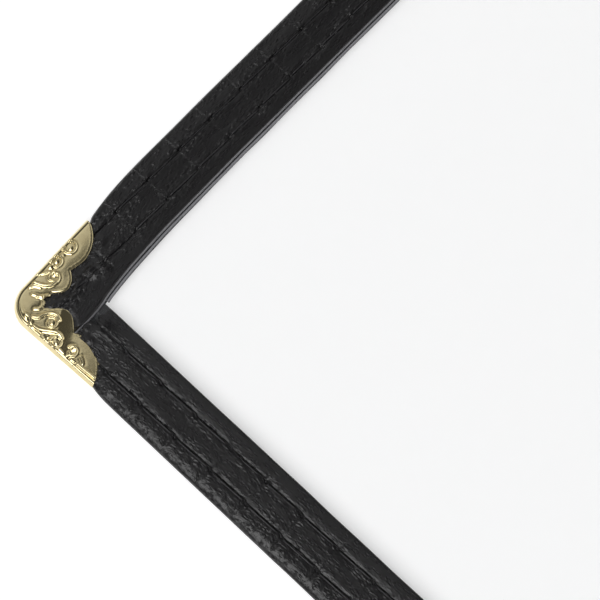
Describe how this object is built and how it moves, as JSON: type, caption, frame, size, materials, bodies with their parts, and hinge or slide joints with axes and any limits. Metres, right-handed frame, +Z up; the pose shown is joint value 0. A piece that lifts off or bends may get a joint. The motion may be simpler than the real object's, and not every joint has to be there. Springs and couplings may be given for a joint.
{
  "type": "folding menu cover",
  "caption": "Folding two-panel menu cover with clear vinyl pockets, stitched leatherette trim and pressed, scalloped metal corners.",
  "frame": {"origin": "on the counter, under the middle of the spine, with the cover laid open and its inside up", "axes": "+X across both panels to the right, +Y up the spine towards the open edges of the pockets, +Z up from the counter"},
  "size_m": [0.477, 0.3014, 0.0036],
  "materials": {
    "leatherette": "pebbled, satin",
    "clear_vinyl": "clear film, gloss",
    "brass_plate": "pressed, bright plated",
    "thread": "twisted polyester"
  },
  "bodies": {
    "left_panel": {"left_front_vinyl": "clear_vinyl", "left_back_vinyl": "clear_vinyl", "left_top_front_tape": "leatherette", "left_top_back_tape": "leatherette", "left_side_binding": "leatherette", "left_bottom_binding": "leatherette", "left_top_corner": "brass_plate", "left_bottom_corner": "brass_plate", "left_top_front_seam": "thread", "left_top_back_seam": "thread", "left_side_seam": "thread", "left_bottom_seam": "thread", "spine_left_seam": "thread", "spine_inner_strip": "leatherette", "spine_outer_strip": "leatherette"},
    "right_panel": {"right_front_vinyl": "clear_vinyl", "right_back_vinyl": "clear_vinyl", "right_top_front_tape": "leatherette", "right_top_back_tape": "leatherette", "right_side_binding": "leatherette", "right_bottom_binding": "leatherette", "right_top_corner": "brass_plate", "right_bottom_corner": "brass_plate", "right_top_front_seam": "thread", "right_top_back_seam": "thread", "right_side_seam": "thread", "right_bottom_seam": "thread", "spine_right_seam": "thread"}
  },
  "joints": [
    {"name": "spine_fold", "type": "hinge", "parent": "left_panel", "child": "right_panel", "pos_m": [0, 0, 0.00375], "axis": [0, -1, 0], "range_deg": [0, 180], "deforming": ["spine_inner_strip", "spine_outer_strip"]}
  ]
}
